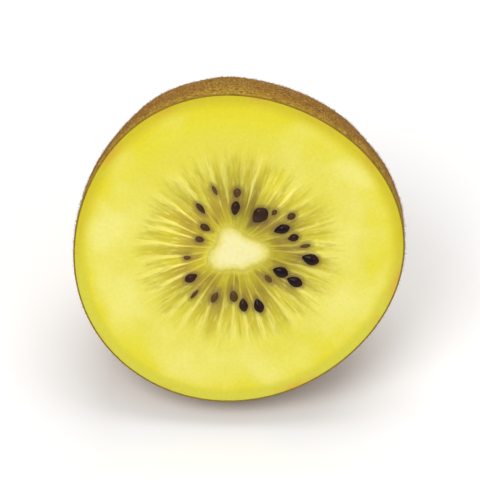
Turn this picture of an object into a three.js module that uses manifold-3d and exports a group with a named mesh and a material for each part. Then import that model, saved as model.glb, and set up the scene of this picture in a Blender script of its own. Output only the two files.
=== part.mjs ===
// Half a golden kiwi fruit, cut across its middle: the half that keeps the stem end.
// Millimetres, +Z up. The origin is the centre of the small flat spot on which the half
// lies. Its cut face looks towards -Y and upwards, and its stem end points back and down.

import * as THREE from 'three';
import { mergeVertices } from 'three/addons/utils/BufferGeometryUtils.js';
import Module from 'manifold-3d';

const wasm = await Module();
wasm.setup();

// The fruit's body, in a frame of its own: the cut is its plane z = 0 and the stem end is at -z
const CUT_RADIUS = 26.5;
const HALF_LENGTH = 32;
const PROFILE_POWER = 2.3; // 2 would be an ellipse, more is blunter
const OVALNESS = 0.015; // the section is this much longer one way than round
const OVAL_ANGLE = 33; // degrees, seen on the cut face
const THREE_SIDEDNESS = 0.017; // as a share, like the next one: low swellings round the section
const FOUR_SIDEDNESS = 0.005;
const FOUR_SIDED_ANGLE = 17;

// The way the half lies
const FACE_ELEVATION = 28; // degrees that the cut face looks up from level
const FLAT_DEPTH = 1.2; // how far the underside is flattened

// The layers that the cut shows
const PEEL_THICKNESS = 0.7;
const LAYER_GAP = 0.3; // clearance between one layer and the next
const CORE_RADIUS = 4.1;
const CORE_CENTRE_Y = -0.31; // the core is a little off the fruit's axis
const CORE_LENGTH = 22;
const CORE_END_SHARE = 0.45; // the core's width at its far end, as a share of that at the cut

// The core is an uneven triangle with round corners, a sum of waves round it: [how many crests,
// their height as a share of the radius, degrees of one of them]
const CORE_WAVES = [[2, 0.14, 1], [3, 0.16, 107], [4, 0.088, 17], [5, 0.036, -5], [6, 0.024, -3]];

// The seed chambers, shallow hollows between the pale rays of the cut face
const LOCULES = 36;
const LOCULE_START = 3; // degrees of the first one
const LOCULE_FROM_CORE = 0.9;
const LOCULE_REACH = 16.4; // distance of their outer ends from the fruit's axis
const LOCULE_REACH_VARIATION = 1.6;
const LOCULE_WIDTH = 1.0;
const LOCULE_DEPTH = 0.35;

// The seeds that the cut laid bare: [degrees round the face, distance from the axis, length, width]
const SEEDS = [
  [130, 8.9, 2.6, 0.9], [110, 10.5, 2.6, 0.7], [90, 9.6, 2.1, 1.3], [92, 7.0, 2.7, 1.4],
  [57, 6.9, 3.4, 2.5], [47, 8.8, 1.5, 0.8], [34, 10.5, 1.9, 1.2], [27, 8.1, 2.9, 1.5],
  [14, 9.4, 2.0, 1.2], [5, 11.0, 2.5, 0.7], [-6, 12.0, 3.1, 1.9], [-27, 8.0, 2.8, 1.8],
  [-29, 10.8, 2.9, 1.7], [-42, 7.0, 2.5, 1.0], [-68, 10.2, 2.7, 1.6], [-82, 9.5, 2.6, 1.4],
  [-92, 7.9, 2.6, 1.4], [-112, 8.8, 2.8, 1.1], [-130, 10.1, 2.5, 0.6], [-145, 8.7, 2.5, 1.4],
  [-169, 7.9, 1.8, 0.8], [165, 6.0, 1.9, 1.1], [144, 6.1, 2.2, 1.2],
];
const SEED_HEIGHT = 1.3;
const SEED_SINK = 0.1; // the middle of a seed lies this far under the cut

// The stem end: a shallow dimple that holds a woody button with its dried sepals
const DIMPLE_RADIUS = 4.6;
const DIMPLE_DEPTH = 1.1;
const BUTTON_RADIUS = 3.4;
const BUTTON_PIT_RADIUS = 1.5;
const BUTTON_HEIGHT = 1.2;
const BUTTON_PIT_HEIGHT = 0.7;
const SEPALS = 7;
const SEPAL_ROOT = 2.2; // distance from the axis at which a sepal starts, inside the button
const SEPAL_LENGTH = 4.6;
const SEPAL_LENGTH_VARIATION = 0.28; // as a share, and so are the next two
const SEPAL_CURL_VARIATION = 0.6;
const SEPAL_ANGLE_VARIATION = 0.3;
const SEPAL_WIDTH = 2.4;
const SEPAL_THICKNESS = 0.65;
const SEPAL_TIP_SHARE = 0.3; // its width at the tip
const SEPAL_CURL = 1.2; // how far the tip stands off the skin

// How finely the surfaces are cut into faces
const OUTER_SIDES = 60;
const OUTER_RINGS = 16;
const INNER_SIDES = 48;
const INNER_RINGS = 12;
const CORE_SIDES = 36;
const BUTTON_SIDES = 24;
const SEPAL_STEPS = 5;
const MERGE_DISTANCE = 1e-4;
const REACH = 60; // larger than any part of the fruit
const PROUD = 2; // how far a cutting shape runs past the cut face

const radians = THREE.MathUtils.degToRad;

// What grows is never even: a share from -1 to 1 for each copy, in an order with no pattern
const GOLDEN_ANGLE = Math.PI * (3 - Math.sqrt(5));
const uneven = (index) => Math.sin(index * GOLDEN_ANGLE);

// Solids

// A closed geometry as a solid that can be joined and cut
function toSolid(geometry) {
  const bare = geometry.clone();
  bare.deleteAttribute('normal');
  bare.deleteAttribute('uv');
  const merged = mergeVertices(bare, MERGE_DISTANCE);
  const corners = merged.index.array;
  const kept = [];
  for (let i = 0; i < corners.length; i += 3) {
    const [a, b, c] = [corners[i], corners[i + 1], corners[i + 2]];
    if (a !== b && b !== c && c !== a) kept.push(a, b, c);
  }
  return new wasm.Manifold(new wasm.Mesh({
    numProp: 3,
    vertProperties: new Float32Array(merged.attributes.position.array),
    triVerts: new Uint32Array(kept),
  }));
}

function toGeometry(solid) {
  const mesh = solid.getMesh();
  const geometry = new THREE.BufferGeometry();
  geometry.setAttribute('position', new THREE.BufferAttribute(mesh.vertProperties, 3));
  geometry.setIndex(new THREE.BufferAttribute(mesh.triVerts, 1));
  return geometry;
}

// A profile of [radius, z] points turned round the fruit's axis, from its lowest point up.
// The section, a function of the angle, makes it less than round.
function turned(profile, sides, section) {
  const points = profile.map(([radius, z]) => new THREE.Vector2(radius, z));
  const geometry = new THREE.LatheGeometry(points, sides);
  geometry.rotateX(Math.PI / 2);
  const position = geometry.attributes.position;
  for (let i = 0; i < position.count; i += 1) {
    const share = section(Math.atan2(position.getY(i), position.getX(i)));
    position.setXY(i, position.getX(i) * share, position.getY(i) * share);
  }
  return geometry;
}

// The fruit's form

function fruitSection(angle) {
  const oval = OVALNESS * Math.cos(2 * (angle - radians(OVAL_ANGLE)));
  const fourSided = FOUR_SIDEDNESS * Math.cos(4 * (angle - radians(FOUR_SIDED_ANGLE)));
  return 1 + oval + THREE_SIDEDNESS * Math.cos(3 * angle) + fourSided;
}

function coreSection(angle) {
  const wave = ([crests, share, degrees]) => share * Math.cos(crests * (angle - radians(degrees)));
  return CORE_WAVES.reduce((sum, row) => sum + wave(row), 1);
}

function dimple(radius) {
  return DIMPLE_DEPTH * Math.exp(-((radius / DIMPLE_RADIUS) ** 2));
}

// How deep below the cut the skin lies, at a distance from the axis
function skinZ(radius) {
  const share = 1 - (radius / CUT_RADIUS) ** PROFILE_POWER;
  return dimple(radius) - HALF_LENGTH * share ** (1 / PROFILE_POWER);
}

// Points of the half's outline, set in from the skin, from the stem end to the cut
function outline(inset, rings) {
  const points = [];
  for (let ring = 0; ring <= rings; ring += 1) {
    const turn = (Math.PI / 2) * (1 - ring / rings);
    const radius = (CUT_RADIUS - inset) * Math.cos(turn) ** (2 / PROFILE_POWER);
    const depth = (HALF_LENGTH - inset) * Math.sin(turn) ** (2 / PROFILE_POWER);
    points.push(ring === 0 ? [0, dimple(0) - depth] : [radius, dimple(radius) - depth]);
  }
  points[rings][1] = 0;
  return points;
}

function halfFruit(inset, sides, rings, proud) {
  const profile = outline(inset, rings);
  if (proud > 0) profile.push([CUT_RADIUS - inset, proud]);
  profile.push([0, proud]);
  return toSolid(turned(profile, sides, fruitSection));
}

// The way the fruit lies: turned about X, then set down so that the flat spot is at z = 0

const attitude = new THREE.Matrix4().makeRotationX(radians(90 - FACE_ELEVATION));
const skinBody = halfFruit(0, OUTER_SIDES, OUTER_RINGS, 0);
const turnedBody = toGeometry(skinBody).applyMatrix4(attitude);
turnedBody.computeBoundingBox();
const floorLevel = turnedBody.boundingBox.min.z + FLAT_DEPTH;

// All that is under a level above the floor, in the fruit's own frame
function groundUpTo(height) {
  const block = new THREE.BoxGeometry(2 * REACH, 2 * REACH, REACH);
  block.translate(0, 0, floorLevel + height - REACH / 2);
  return toSolid(block.applyMatrix4(attitude.clone().invert()));
}

const flatSlice = toGeometry(skinBody.intersect(groundUpTo(0))).applyMatrix4(attitude);
flatSlice.computeBoundingBox();
const flatCentre = flatSlice.boundingBox.getCenter(new THREE.Vector3());

// Peel: a thin brown cup, open at the cut

function peelSolid() {
  const inside = halfFruit(PEEL_THICKNESS, INNER_SIDES, INNER_RINGS, PROUD);
  const cavity = inside.subtract(groundUpTo(PEEL_THICKNESS));
  return skinBody.subtract(groundUpTo(0)).subtract(cavity);
}

// Core: the pale column that the cut shows as a rounded triangle

function coreSolid(clearance, proud) {
  const radius = CORE_RADIUS + clearance;
  const length = CORE_LENGTH + clearance;
  const endRadius = radius * CORE_END_SHARE;
  const profile = [[0, -length], [endRadius, -length], [radius, -length / 2], [radius, proud], [0, proud]];
  const geometry = turned(profile, CORE_SIDES, coreSection);
  return toSolid(geometry.translate(0, CORE_CENTRE_Y, 0));
}

// Flesh: the golden body, with the seed chambers sunk in its cut face and the seeds grown in it

function faceEllipsoid(sides, rings, degrees, distance, size, height) {
  const geometry = new THREE.SphereGeometry(0.5, sides, rings);
  geometry.scale(size.x, size.y, size.z);
  geometry.translate(distance, 0, height);
  geometry.rotateZ(radians(degrees));
  return toSolid(geometry);
}

function loculeSolid(index) {
  const degrees = LOCULE_START + (index * 360) / LOCULES;
  const start = CORE_RADIUS * coreSection(radians(degrees)) + LOCULE_FROM_CORE;
  const end = LOCULE_REACH + LOCULE_REACH_VARIATION * uneven(index);
  const size = new THREE.Vector3(end - start, LOCULE_WIDTH, 2 * LOCULE_DEPTH);
  return faceEllipsoid(6, 4, degrees, (start + end) / 2, size, 0);
}

function seedSolid([degrees, distance, length, width]) {
  const size = new THREE.Vector3(length, width, SEED_HEIGHT);
  return faceEllipsoid(8, 6, degrees, distance, size, -SEED_SINK);
}

function fleshSolid() {
  const inset = PEEL_THICKNESS + LAYER_GAP;
  let flesh = halfFruit(inset, INNER_SIDES, INNER_RINGS, 0).subtract(groundUpTo(inset));
  for (let index = 0; index < LOCULES; index += 1) flesh = flesh.subtract(loculeSolid(index));
  for (const seed of SEEDS) flesh = flesh.add(seedSolid(seed));
  return flesh.subtract(coreSolid(LAYER_GAP, PROUD));
}

// Stem button: the round woody scar in the dimple, with dried sepals curling off it

function sepalSolid(index) {
  const length = SEPAL_LENGTH * (1 + SEPAL_LENGTH_VARIATION * uneven(index));
  const curl = SEPAL_CURL * (1 + SEPAL_CURL_VARIATION * uneven(index + 1));
  const turn = ((index + SEPAL_ANGLE_VARIATION * uneven(index + 2)) * 2 * Math.PI) / SEPALS;
  const geometry = new THREE.BoxGeometry(length, SEPAL_WIDTH, SEPAL_THICKNESS, SEPAL_STEPS, 1, 1);
  const position = geometry.attributes.position;
  for (let i = 0; i < position.count; i += 1) {
    const along = position.getX(i) / length + 0.5;
    const radius = SEPAL_ROOT + along * length;
    const width = 1 - (1 - SEPAL_TIP_SHARE) * along;
    const clear = LAYER_GAP + SEPAL_THICKNESS / 2 + curl * along ** 2;
    position.setXYZ(i, radius, position.getY(i) * width, skinZ(radius) - clear + position.getZ(i));
  }
  return toSolid(geometry.rotateZ(turn));
}

function stemButtonSolid() {
  const seat = (radius) => skinZ(radius) - LAYER_GAP;
  const middle = (BUTTON_RADIUS + BUTTON_PIT_RADIUS) / 2;
  const profile = [
    [0, seat(0) - BUTTON_PIT_HEIGHT],
    [BUTTON_PIT_RADIUS, seat(0) - BUTTON_PIT_HEIGHT],
    [middle, seat(0) - BUTTON_HEIGHT],
    [BUTTON_RADIUS, seat(0) - BUTTON_HEIGHT],
    [BUTTON_RADIUS, seat(BUTTON_RADIUS)],
    [middle, seat(middle)],
    [BUTTON_PIT_RADIUS, seat(BUTTON_PIT_RADIUS)],
    [0, seat(0)],
  ];
  let button = toSolid(turned(profile, BUTTON_SIDES, () => 1));
  for (let index = 0; index < SEPALS; index += 1) button = button.add(sepalSolid(index));
  return button;
}

// The half, laid down on its flat spot

const materials = {
  peel: new THREE.MeshStandardMaterial({ color: 0xa0763a, roughness: 0.75, metalness: 0 }),
  flesh: new THREE.MeshStandardMaterial({ color: 0xe8dc50, roughness: 0.35, metalness: 0 }),
  core: new THREE.MeshStandardMaterial({ color: 0xf6ecb4, roughness: 0.45, metalness: 0 }),
  stem_button: new THREE.MeshStandardMaterial({ color: 0x3e2615, roughness: 0.9, metalness: 0 }),
};

const solids = {
  peel: peelSolid(),
  flesh: fleshSolid(),
  core: coreSolid(0, 0),
  stem_button: stemButtonSolid(),
};

const kiwiHalf = new THREE.Group();
kiwiHalf.rotation.x = radians(90 - FACE_ELEVATION);
kiwiHalf.position.set(-flatCentre.x, -flatCentre.y, -floorLevel);
for (const [name, solid] of Object.entries(solids)) {
  const mesh = new THREE.Mesh(toGeometry(solid), materials[name]);
  mesh.name = name;
  kiwiHalf.add(mesh);
}

export default kiwiHalf;
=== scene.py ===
# %% [markdown]
# # Half a golden kiwi fruit
# This lesson dresses the plain solids of a golden kiwi fruit, cut across its middle, as the
# real fruit: a thin brown peel with specks and down, golden flesh with its rays and seed
# chambers, dark seeds, a cream core, and a woody stem end. The solids are the frame. Each
# piece made here replaces one of them in the same place, or lies on one.

# %% The frame and the libraries
import math

import bpy
import numpy as np
from mathutils import Matrix, Vector


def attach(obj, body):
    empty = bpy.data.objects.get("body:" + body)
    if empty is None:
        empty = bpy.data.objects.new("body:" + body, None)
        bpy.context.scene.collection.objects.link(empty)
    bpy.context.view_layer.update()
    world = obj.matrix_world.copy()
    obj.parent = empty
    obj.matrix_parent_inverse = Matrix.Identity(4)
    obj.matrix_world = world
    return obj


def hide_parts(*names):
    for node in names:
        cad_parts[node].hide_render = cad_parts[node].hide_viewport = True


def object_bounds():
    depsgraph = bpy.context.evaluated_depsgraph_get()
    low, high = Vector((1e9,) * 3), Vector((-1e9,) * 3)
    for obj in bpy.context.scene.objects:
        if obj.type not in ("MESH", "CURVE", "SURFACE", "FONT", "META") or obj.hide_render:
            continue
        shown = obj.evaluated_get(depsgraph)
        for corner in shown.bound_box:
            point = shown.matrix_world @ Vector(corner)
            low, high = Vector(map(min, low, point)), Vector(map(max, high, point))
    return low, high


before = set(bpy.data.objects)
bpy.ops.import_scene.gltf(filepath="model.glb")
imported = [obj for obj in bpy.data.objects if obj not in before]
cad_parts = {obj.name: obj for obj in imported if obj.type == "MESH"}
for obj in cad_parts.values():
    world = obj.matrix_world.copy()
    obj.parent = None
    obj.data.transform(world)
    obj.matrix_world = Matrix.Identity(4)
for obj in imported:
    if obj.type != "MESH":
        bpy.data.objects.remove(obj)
cad_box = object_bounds()
cad_low, cad_high = ([round(v, 4) for v in corner] for corner in cad_box)
print("the solids reach from", cad_low, "to", cad_high)

# %% [markdown]
# ## Where the fruit's own axes are
# The half lies on a flat spot, tilted, but a fruit is far easier to describe along its own
# axis. So every piece is first made in the fruit's own axes, in millimetres: the cut is the
# plane z = 0, the stem end is at -z, and y points up the cut face. The last step lays it down.
# The tilt is known, and the place comes from the peel's solid: the points on its cut edge are
# evenly spread round the fruit's axis, so their mean is the middle of the cut.

# %% The way the fruit lies
MM = 0.001
FACE_ELEVATION = math.radians(28)
SAME_PLANE = 0.002 * MM

tilt = Matrix.Rotation(math.pi / 2 - FACE_ELEVATION, 4, "X")
face_normal = (tilt @ Vector((0, 0, 1))).normalized()
peel_points = {tuple(round(c, 7) for c in v.co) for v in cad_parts["peel"].data.vertices}
face_level = max(Vector(p).dot(face_normal) for p in peel_points)
cut_edge = [Vector(p) for p in peel_points if face_level - Vector(p).dot(face_normal) < SAME_PLANE]
cut_centre = sum(cut_edge, Vector()) / len(cut_edge)
LAID = Matrix.Translation(cut_centre) @ tilt @ Matrix.Scale(MM, 4)
print("the middle of the cut is at", [round(v / MM, 2) for v in cut_centre], "mm")

# %% [markdown]
# ## The fruit's form
# A kiwi fruit is rounder than a barrel and blunter than an egg. A superellipse, whose power is
# a little over 2, gives that outline from two sizes, and three small waves round the section
# give the uneven roundness of the cut face. The same few formulas place every piece.

# %% Sizes and outline
CUT_RADIUS = 26.5
HALF_LENGTH = 32
PROFILE_POWER = 2.3
OVALNESS, OVAL_ANGLE = 0.015, math.radians(33)
THREE_SIDEDNESS = 0.017
FOUR_SIDEDNESS, FOUR_SIDED_ANGLE = 0.005, math.radians(17)
CORE_RADIUS, CORE_LENGTH, CORE_END_SHARE = 4.1, 22, 0.45
CORE_WAVES = [(2, 0.14, 1), (3, 0.16, 107), (4, 0.088, 17), (5, 0.036, -5), (6, 0.024, -3)]
CORE_CENTRE = (0.0, -0.31)
DIMPLE_RADIUS, DIMPLE_DEPTH = 4.6, 1.1


def fruit_section(angle):
    """How far out the section is at an angle, as a share of its mean radius."""
    oval = OVALNESS * np.cos(2 * (angle - OVAL_ANGLE))
    four_sided = FOUR_SIDEDNESS * np.cos(4 * (angle - FOUR_SIDED_ANGLE))
    return 1 + oval + THREE_SIDEDNESS * np.cos(3 * angle) + four_sided


def core_section(angle):
    """The same for the core: an uneven triangle with round corners, a sum of waves round it."""
    waves = [(count, share, angle - math.radians(peak)) for count, share, peak in CORE_WAVES]
    return 1 + sum(share * np.cos(count * turn) for count, share, turn in waves)


def dimple(radius):
    """The shallow hollow at the stem end, at a distance from the axis."""
    return DIMPLE_DEPTH * np.exp(-((radius / DIMPLE_RADIUS) ** 2))


def outline(inset, rings):
    """Radius and z of the half, set in from the skin, from the stem end's pole to the cut."""
    turn = np.linspace(math.pi / 2, 0, rings + 1)[1:]
    radius = (CUT_RADIUS - inset) * np.cos(turn) ** (2 / PROFILE_POWER)
    z = dimple(radius) - (HALF_LENGTH - inset) * np.sin(turn) ** (2 / PROFILE_POWER)
    z[-1] = 0
    return list(zip(radius, z))


def skin_z(radius):
    """How deep below the cut the skin lies, at a distance from the axis."""
    share = 1 - (radius / CUT_RADIUS) ** PROFILE_POWER
    return dimple(radius) - HALF_LENGTH * share ** (1 / PROFILE_POWER)


print("the whole fruit would be", 2 * HALF_LENGTH, "mm long and", 2 * CUT_RADIUS, "mm across")

# %% [markdown]
# ## From rings to a mesh
# Peel, flesh and core are all rings round an axis, which close at a pole at either end. One
# helper makes such a mesh. It takes the rings in order, from the lowest pole up the outside and
# back along the inside, so that every face points outwards. Faces that meet at a steep angle,
# as the cut does with the core's pocket, keep a crisp edge in the light.

# %% Mesh helpers
CRISP_ANGLE = math.radians(50)


def even_angles(count):
    """Angles spread evenly once round an axis."""
    return np.linspace(0, 2 * math.pi, count, endpoint=False)


def ring(radius, z, angles, section, centre=(0.0, 0.0)):
    """Points of one ring, in the fruit's axes."""
    reach = radius * section(angles)
    x, y = reach * np.cos(angles) + centre[0], reach * np.sin(angles) + centre[1]
    return np.stack([x, y, np.full_like(angles, z)], axis=1)


def add_object(name, mesh):
    """An object for a mesh, lamp or camera, at the origin and unturned."""
    made = bpy.data.objects.new(name, mesh)
    bpy.context.scene.collection.objects.link(made)
    return made


def mesh_of_rings(name, first_pole, rings, last_pole):
    """A closed mesh through rings of equal count, with a pole at either end."""
    sides = len(rings[0])
    points = np.concatenate([[first_pole], *rings, [last_pole]])
    start = 1 + np.arange(len(rings))[:, None] * sides
    here, after = np.arange(sides), (np.arange(sides) + 1) % sides
    low, high = start[:-1], start[1:]
    quads = np.stack([low + here, low + after, high + after, high + here], axis=2)
    last = len(points) - 1
    faces = quads.reshape(-1, 4).tolist()
    faces += [(0, 1 + b, 1 + a) for a, b in zip(here, after)]
    faces += [(last, start[-1][0] + a, start[-1][0] + b) for a, b in zip(here, after)]
    mesh = bpy.data.meshes.new(name)
    mesh.from_pydata(points.tolist(), [], faces)
    mesh.shade_smooth()
    mesh.set_sharp_from_angle(angle=CRISP_ANGLE)
    return add_object(name, mesh)


def points_of(made):
    """The vertices of an object's mesh as an array."""
    flat = np.empty(len(made.data.vertices) * 3, np.float32)
    made.data.vertices.foreach_get("co", flat)
    return flat.reshape(-1, 3).astype(float)


def move_points(made, points):
    """Puts the vertices of an object's mesh where an array says."""
    made.data.vertices.foreach_set("co", np.asarray(points, np.float32).ravel())
    made.data.update()


def note(made, name, values):
    """Keeps a number, or a vector, for every vertex, for the material to read."""
    values = np.asarray(values, np.float32)
    kind, key = ("FLOAT_VECTOR", "vector") if values.ndim == 2 else ("FLOAT", "value")
    attribute = made.data.attributes.new(name, kind, "POINT")
    attribute.data.foreach_set(key, values.ravel())


# %% [markdown]
# ## Node helpers
# Materials and Geometry Nodes share their maths nodes. Placing and linking each one takes four
# lines, so a small class lets a tree be written as a formula: adding two wires makes an Add
# node. It keeps the rules of the fruit, such as where a ray ends, readable.

# %% Wires and nodes


def plug(tree, value, socket):
    """Links a wire to a socket, or sets the socket to a plain value."""
    if isinstance(value, Wire):
        tree.links.new(value.socket, socket)
    else:
        socket.default_value = value


def add_node(tree, kind, inputs=None, **settings):
    """A new node with its settings made and its inputs plugged, by name or by number."""
    made = tree.nodes.new(kind)
    for key, value in settings.items():
        setattr(made, key, value)
    for key, value in (inputs or {}).items():
        plug(tree, value, made.inputs[key])
    return made


def wired(tree, kind, inputs=None, output=0, **settings):
    """One output of a new node, as a wire."""
    return Wire(tree, add_node(tree, kind, inputs, **settings).outputs[output])


class Wire:
    """An output socket that can be used in a formula."""

    def __init__(self, tree, socket):
        self.tree, self.socket = tree, socket

    def math(self, operation, *others):
        inputs = dict(enumerate((self, *others)))
        return wired(self.tree, "ShaderNodeMath", inputs, operation=operation)

    def __add__(self, other):
        return self.math("ADD", other)

    def __sub__(self, other):
        return self.math("SUBTRACT", other)

    def __mul__(self, other):
        return self.math("MULTIPLY", other)

    def __truediv__(self, other):
        return self.math("DIVIDE", other)

    def flip(self):
        """One minus the wire."""
        return self * -1 + 1

    def step(self, low, high):
        """A smooth step from 0 at low to 1 at high."""
        inputs = {"Value": self, "From Min": low, "From Max": high}
        settings = {"output": "Result", "interpolation_type": "SMOOTHSTEP"}
        return wired(self.tree, "ShaderNodeMapRange", inputs, **settings)

    def parts(self):
        """The three parts of a vector wire."""
        made = add_node(self.tree, "ShaderNodeSeparateXYZ", {0: self})
        return [Wire(self.tree, out) for out in made.outputs]


def vector(tree, x, y, z):
    """A vector wire from three parts."""
    return wired(tree, "ShaderNodeCombineXYZ", {0: x, 1: y, 2: z})


def noise(tree, place, scale, detail=3.0, roughness=0.55):
    """Smooth noise from 0 to 1 at a place."""
    inputs = {"Vector": place, "Scale": scale, "Detail": detail, "Roughness": roughness}
    return wired(tree, "ShaderNodeTexNoise", inputs)


def chance(tree, number, seed):
    """A fixed random share from 0 to 1 for each whole number."""
    return wired(tree, "ShaderNodeTexWhiteNoise", {"W": number + seed}, noise_dimensions="1D")


# %% [markdown]
# Colours are written as they look on a screen, because that is how an eye judges a fruit, and
# turned into amounts of light once, here. A mesh can keep numbers for its vertices, such as how
# far each one is from the skin, and a material can read them.

# %% Colours


def colour(red, low_side_painted_light, blue):
    """A colour as a painter reads it from a screen, 0 to 255, turned to linear light."""
    def linear(share):
        return share / 12.92 if share <= 0.04045 else ((share + 0.055) / 1.055) ** 2.4
    return (*(linear(part / 255) for part in (red, low_side_painted_light, blue)), 1.0)


def blended(tree, share, first, second, blend="MIX"):
    """The first colour turning into the second as the share goes from 0 to 1."""
    inputs = {0: share, 6: first, 7: second}
    return wired(tree, "ShaderNodeMix", inputs, 2, data_type="RGBA", blend_type=blend)


def layered(tree, base, *layers):
    """A colour under layers of others, each given with the share that it covers."""
    for share, tint in layers:
        base = blended(tree, share, base, tint)
    return base


def new_material(name, **sockets):
    """A material with one Principled shader, with its plain values set on its own sockets."""
    made = bpy.data.materials.new(name)
    made.use_nodes = True
    shader = made.node_tree.nodes["Principled BSDF"]
    for key, value in sockets.items():
        shader.inputs[key.replace("_", " ")].default_value = value
    return made, made.node_tree, shader


def read(tree, name, vector_kind=False):
    """A number or vector that the mesh keeps for each vertex."""
    output = "Vector" if vector_kind else "Fac"
    return wired(tree, "ShaderNodeAttribute", output=output, attribute_name=name)


def bumped(tree, shader, height, depth_mm, strength):
    """Fine relief from a height of 0 to 1, which stands for a depth in millimetres."""
    inputs = {"Strength": strength, "Distance": depth_mm * MM, "Height": height}
    plug(tree, wired(tree, "ShaderNodeBump", inputs, "Normal"), shader.inputs["Normal"])


# %% [markdown]
# ## Geometry Nodes helpers
# Seeds, specks and down repeat, and so do the rays of the cut face. Copies made by hand would
# each need work again after every change, so each kind is a node tree, with its sizes as named
# inputs. The helper below hangs the tree on a start mesh, sets those inputs, and keeps what
# comes out as a plain mesh.

# %% Trees and what they grow
SOCKETS = {float: "NodeSocketFloat", int: "NodeSocketInt"}


def new_tree(name, sizes):
    """An empty geometry tree with named inputs. Returns it, its start geometry and its inputs."""
    tree = bpy.data.node_groups.new(name, "GeometryNodeTree")
    tree.interface.new_socket("Geometry", in_out="INPUT", socket_type="NodeSocketGeometry")
    tree.interface.new_socket("Geometry", in_out="OUTPUT", socket_type="NodeSocketGeometry")
    for label, value in sizes.items():
        tree.interface.new_socket(label, in_out="INPUT", socket_type=SOCKETS[type(value)])
    start = tree.nodes.new("NodeGroupInput")
    inputs = {label: Wire(tree, start.outputs[label]) for label in sizes}
    return tree, Wire(tree, start.outputs["Geometry"]), inputs


def end_tree(tree, geometry, material):
    """Ends a tree in Realize Instances and Set Material."""
    real = wired(tree, "GeometryNodeRealizeInstances", {"Geometry": geometry})
    painted = wired(tree, "GeometryNodeSetMaterial", {"Geometry": real, "Material": material})
    plug(tree, painted, tree.nodes.new("NodeGroupOutput").inputs[0])


def grown(name, start, tree, sizes):
    """The plain mesh that a tree makes from a start object, as an object of its own."""
    modifier = start.modifiers.new(tree.name, "NODES")
    modifier.node_group = tree
    for item in tree.interface.items_tree:
        if item.in_out == "INPUT" and item.name in sizes:
            modifier[item.identifier] = sizes[item.name]
    bpy.context.view_layer.update()
    evaluated = start.evaluated_get(bpy.context.evaluated_depsgraph_get())
    mesh = bpy.data.meshes.new_from_object(evaluated)
    start.modifiers.remove(modifier)
    mesh.name = name
    print(name, "has", len(mesh.polygons), "faces")
    return add_object(name, mesh)


def named_attribute(tree, name, data_type="FLOAT"):
    """A number that the mesh keeps, read inside a geometry tree."""
    settings = {"output": "Attribute", "data_type": data_type}
    return wired(tree, "GeometryNodeInputNamedAttribute", {"Name": name}, **settings)


def stored(tree, geometry, name, value):
    """Keeps a number for each vertex, for the material to read."""
    inputs = {"Geometry": geometry, "Name": name, "Value": value}
    return wired(tree, "GeometryNodeStoreNamedAttribute", inputs, data_type="FLOAT", domain="POINT")


# %% [markdown]
# ## Seeds
# A kiwi seed is a small, flat, glossy drop, nearly black, which points at the core. The knife
# laid some bare whole, cut others, and left some just under the surface, where they look
# brown. They could be copied by hand, but one drop on points that know their own angle, size
# and tone is quicker to change. The list is in the order round the face: degrees, distance
# from the axis, length and width in millimetres, and tone, from 0 for black to 1 for faint.

# %% The seeds' places
SEEDS = [
    (130, 8.9, 2.6, 0.9, 0.3), (110, 10.5, 2.6, 0.7, 0.8), (90, 9.6, 2.1, 1.3, 0.6),
    (92, 7.0, 2.7, 1.4, 0.1), (57, 6.9, 3.4, 2.5, 0.15), (47, 8.8, 1.5, 0.8, 0.6),
    (34, 10.5, 1.9, 1.2, 0.5), (27, 8.1, 2.9, 1.5, 0.0), (14, 9.4, 2.0, 1.2, 0.1),
    (5, 11.0, 2.5, 0.7, 0.7), (-6, 12.0, 3.1, 1.9, 0.0), (-27, 8.0, 2.8, 1.8, 0.0),
    (-29, 10.8, 2.9, 1.7, 0.0), (-42, 7.0, 2.5, 1.0, 0.9), (-68, 10.2, 2.7, 1.6, 0.0),
    (-82, 9.5, 2.6, 1.4, 0.1), (-92, 7.9, 2.6, 1.4, 0.6), (-112, 8.8, 2.8, 1.1, 0.7),
    (-130, 10.1, 2.5, 0.6, 0.6), (-145, 8.7, 2.5, 1.4, 0.1), (-169, 7.9, 1.8, 0.8, 0.8),
    (165, 6.0, 1.9, 1.1, 0.5), (144, 6.1, 2.2, 1.2, 0.4),
]
SEED_HEIGHT = 1.3
SEED_SINK = 0.22
SEED_FAINT_SINK = 0.25
SEED_SWELL = 1.1
SEED_ROLL, SEED_STRAY = 0.35, 0.16
DROP_SIDES, DROP_RINGS = 20, 14


def drop(name):
    """One seed, 1 long, 1 wide and 1 high, with its pointed end towards -x."""
    along = np.linspace(0, 1, DROP_RINGS + 2)[1:-1]
    angles = even_angles(DROP_SIDES)
    rings = []
    for share in along:
        width = 0.5 * math.sin(math.pi * share**1.3) ** 0.75
        x = np.full_like(angles, share - 0.5)
        rings.append(np.stack([x, width * np.cos(angles), width * np.sin(angles)], axis=1))
    return mesh_of_rings(name, (-0.5, 0, 0), rings, (0.5, 0, 0))


seed_rows = np.array(SEEDS, float)
turns = np.radians(seed_rows[:, 0])
seed_spots = bpy.data.meshes.new("seed_spots")
sinks = SEED_SINK + SEED_FAINT_SINK * seed_rows[:, 4]
spots = np.stack([seed_rows[:, 1] * np.cos(turns), seed_rows[:, 1] * np.sin(turns), -sinks], axis=1)
seed_spots.from_pydata(spots.tolist(), [], [])
seed_places = add_object("seed_places", seed_spots)
rolls = SEED_ROLL * np.sin(7 * turns)
strays = SEED_STRAY * np.sin(11 * turns)
note(seed_places, "turn", np.stack([rolls, np.zeros_like(turns), turns + strays], axis=1))
heights = np.full(len(SEEDS), SEED_HEIGHT)
sizes = SEED_SWELL * np.stack([seed_rows[:, 2], seed_rows[:, 3], heights], axis=1)
note(seed_places, "size", sizes)
note(seed_places, "tone", seed_rows[:, 4])
seed_drop = drop("seed_drop")
print(len(SEEDS), "seeds on the cut")

# %% [markdown]
# The seed coat is close to black, with a little brown and purple in it, and it shines. Its
# surface has fine pits, and a faint seed is browner because it is seen through the flesh.

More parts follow.
